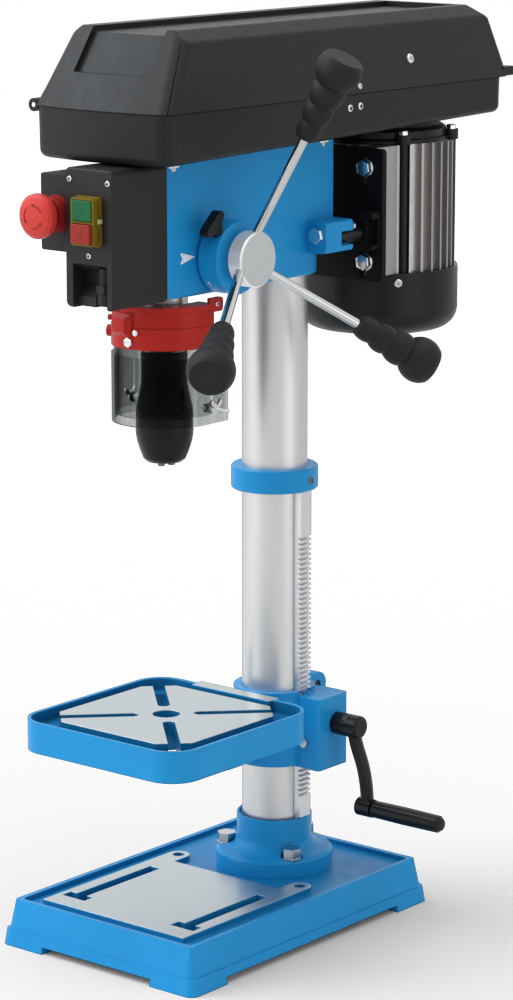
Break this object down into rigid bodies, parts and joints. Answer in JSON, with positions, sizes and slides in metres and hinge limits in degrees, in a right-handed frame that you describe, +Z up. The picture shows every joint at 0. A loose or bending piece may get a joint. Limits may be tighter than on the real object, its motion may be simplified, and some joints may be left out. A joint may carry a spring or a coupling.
{
  "type": "bench drill press",
  "caption": "Bench drill press: round column on a slotted base, rack-lifted tilting table, belt-driven head with pulley cover, guarded chuck, three-arm feed and rear motor.",
  "frame": {"origin": "column axis where it meets the bench plane under the feet", "axes": "+Z up along the column, -Y to the operator, +X to the feed handles"},
  "size_m": [0.301, 0.5672, 0.833],
  "materials": {
    "belt": "matte",
    "black_cover": "satin",
    "black_oxide": "black oxide",
    "black_paint": "satin",
    "chrome": "polished",
    "clear": "clear",
    "green": "gloss",
    "grip": "matte",
    "iron": "painted",
    "motor_fins": "cast",
    "pulley": "cast",
    "red": "gloss",
    "steel": "machined",
    "yellow": "gloss"
  },
  "bodies": {
    "stand": {"base": "iron", "column_flange": "iron", "flange_bolts": "steel", "column_tube": "chrome", "rack_collar": "iron", "head_casting": "iron", "spring_cap": "black_paint", "belt_tray": "black_cover", "lid_hinge_pins": "steel", "switch_box": "black_cover", "switch_frame": "yellow", "cable_gland": "black_cover", "estop_box": "black_cover", "estop_collar": "red", "v_belt": "belt"},
    "lid": {"lid": "black_cover"},
    "start_button": {"start_button": "green"},
    "stop_button": {"stop_button": "red"},
    "estop_stem": {"estop_stem": "red"},
    "estop_cap": {"estop_cap": "red"},
    "quill": {"quill": "steel", "guard_clamp": "steel"},
    "guard_door": {"guard_holder": "red", "shield_upper": "clear", "shield_bolts": "steel"},
    "shield_lower": {"shield_lower": "clear"},
    "spindle": {"spindle": "steel", "chuck_body": "black_oxide"},
    "chuck_sleeve": {"chuck_sleeve": "black_oxide"},
    "jaw_1": {"chuck_jaw_1": "steel"},
    "jaw_2": {"chuck_jaw_2": "steel"},
    "jaw_3": {"chuck_jaw_3": "steel"},
    "spindle_pulley": {"spindle_pulley": "pulley"},
    "feed": {"feed_shaft": "steel", "feed_hub": "chrome", "handle_rod_1": "chrome", "handle_rod_2": "chrome", "handle_rod_3": "chrome", "handle_grip_1": "grip", "handle_grip_2": "grip", "handle_grip_3": "grip"},
    "depth_drum": {"depth_drum": "iron"},
    "depth_lock": {"depth_lock_knob": "grip"},
    "rack": {"rack": "steel"},
    "table_arm": {"table_arm": "iron"},
    "lift_gear": {"lift_gear": "steel"},
    "crank": {"crank_shaft": "steel", "crank_arm": "black_paint"},
    "crank_grip": {"crank_grip": "grip"},
    "table": {"table": "iron", "tilt_bolt": "steel"},
    "table_lock": {"table_lock_lever": "black_paint"},
    "motor": {"motor_plate": "black_paint", "motor_body": "motor_fins", "motor_bell": "black_paint", "fan_cowl": "black_paint", "slide_rods": "steel", "tie_rods": "black_paint"},
    "motor_rotor": {"motor_pulley": "pulley"}
  },
  "joints": [
    {"name": "lid_hinge", "type": "hinge", "parent": "stand", "child": "lid", "pos_m": [-0.085, 0, 0.765], "axis": [0, -1, 0], "range_deg": [0, 100]},
    {"name": "start_press", "type": "slide", "parent": "stand", "child": "start_button", "axis": [0, 1, 0], "range_m": [0, 0.0024], "stiffness_N_per_m": 300, "springref_m": -0.001},
    {"name": "stop_press", "type": "slide", "parent": "stand", "child": "stop_button", "axis": [0, 1, 0], "range_m": [0, 0.0024], "stiffness_N_per_m": 300, "springref_m": -0.001},
    {"name": "estop_press", "type": "slide", "parent": "stand", "child": "estop_stem", "axis": [0, 1, 0], "range_m": [0, 0.005]},
    {"name": "estop_twist", "type": "hinge", "parent": "estop_stem", "child": "estop_cap", "pos_m": [-0.033, -0.276, 0.677], "axis": [0, -1, 0], "range_deg": [0, 45], "stiffness_Nm_per_rad": 0.03, "springref_deg": -5.73},
    {"name": "quill_feed", "type": "slide", "parent": "stand", "child": "quill", "axis": [0, 0, -1], "range_m": [0, 0.06], "stiffness_N_per_m": 400, "springref_m": -0.15},
    {"name": "guard_swing", "type": "hinge", "parent": "quill", "child": "guard_door", "pos_m": [-0.04629, -0.14684, 0.583], "axis": [0, 0, -1], "range_deg": [0, 110]},
    {"name": "shield_slide", "type": "slide", "parent": "guard_door", "child": "shield_lower", "axis": [0, 0, -1], "range_m": [0, 0.034]},
    {"name": "chuck_spin", "type": "hinge", "parent": "quill", "child": "spindle", "pos_m": [0, -0.155, 0.52], "axis": [0, 0, 1], "continuous": true},
    {"name": "sleeve_turn", "type": "hinge", "parent": "spindle", "child": "chuck_sleeve", "pos_m": [0, -0.155, 0.475], "axis": [0, 0, 1], "range_deg": [-340, 340]},
    {"name": "jaw_slide_1", "type": "slide", "parent": "spindle", "child": "jaw_1", "axis": [-0.1593, -0.1336, -0.9781], "range_m": [-0.0119, 0.0119]},
    {"name": "jaw_slide_2", "type": "slide", "parent": "spindle", "child": "jaw_2", "axis": [0.1954, -0.0711, -0.9781], "range_m": [-0.0119, 0.0119]},
    {"name": "jaw_slide_3", "type": "slide", "parent": "spindle", "child": "jaw_3", "axis": [-0.0361, 0.2048, -0.9781], "range_m": [-0.0119, 0.0119]},
    {"name": "pulley_spin", "type": "hinge", "parent": "stand", "child": "spindle_pulley", "pos_m": [0, -0.155, 0.77], "axis": [0, 0, 1], "continuous": true},
    {"name": "feed_turn", "type": "hinge", "parent": "stand", "child": "feed", "pos_m": [0.06, -0.125, 0.633], "axis": [1, 0, 0], "range_deg": [0, 328]},
    {"name": "drum_set", "type": "hinge", "parent": "feed", "child": "depth_drum", "pos_m": [0.05, -0.125, 0.633], "axis": [1, 0, 0], "range_deg": [-100, 100]},
    {"name": "depth_lock_turn", "type": "hinge", "parent": "depth_drum", "child": "depth_lock", "pos_m": [0.0555, -0.15228, 0.66225], "axis": [0, -0.682, 0.7314], "range_deg": [-180, 180]},
    {"name": "table_swivel", "type": "hinge", "parent": "stand", "child": "rack", "pos_m": [0, 0, 0.24], "axis": [0, 0, 1], "range_deg": [-120, 120]},
    {"name": "table_lift", "type": "slide", "parent": "rack", "child": "table_arm", "axis": [0, 0, 1], "range_m": [-0.03, 0.17]},
    {"name": "lift_gear_turn", "type": "hinge", "parent": "table_arm", "child": "lift_gear", "pos_m": [0.0448, 0.01, 0.165], "axis": [0, 1, 0], "range_deg": [-1083, 192]},
    {"name": "crank_turn", "type": "hinge", "parent": "table_arm", "child": "crank", "pos_m": [0.075, 0.014, 0.182], "axis": [-1, 0, 0], "range_deg": [-2484, 14071]},
    {"name": "crank_grip_spin", "type": "hinge", "parent": "crank", "child": "crank_grip", "pos_m": [0.145, 0.014, 0.107], "axis": [1, 0, 0], "continuous": true},
    {"name": "table_tilt", "type": "hinge", "parent": "table_arm", "child": "table", "pos_m": [0, -0.06, 0.165], "axis": [0, 1, 0], "range_deg": [-45, 45]},
    {"name": "table_lock_turn", "type": "hinge", "parent": "table_arm", "child": "table_lock", "pos_m": [-0.02, 0.048, 0.203], "axis": [1, 0, 0], "range_deg": [-25, 60]},
    {"name": "motor_slide", "type": "slide", "parent": "stand", "child": "motor", "axis": [0, -1, 0], "range_m": [0, 0.014]},
    {"name": "motor_spin", "type": "hinge", "parent": "motor", "child": "motor_rotor", "pos_m": [0, 0.155, 0.74], "axis": [0, 0, 1], "continuous": true}
  ],
  "couplings": [
    {"joint": "feed_turn", "follows": "quill_feed", "rad_per_m": 95.238},
    {"joint": "lift_gear_turn", "follows": "table_lift", "rad_per_m": -111.11},
    {"joint": "crank_turn", "follows": "table_lift", "rad_per_m": 1444.4},
    {"joint": "pulley_spin", "follows": "chuck_spin", "ratio": 1},
    {"joint": "motor_spin", "follows": "chuck_spin", "ratio": 1},
    {"joint": "jaw_slide_1", "follows": "sleeve_turn", "m_per_rad": 0.002},
    {"joint": "jaw_slide_2", "follows": "sleeve_turn", "m_per_rad": 0.002},
    {"joint": "jaw_slide_3", "follows": "sleeve_turn", "m_per_rad": 0.002}
  ]
}
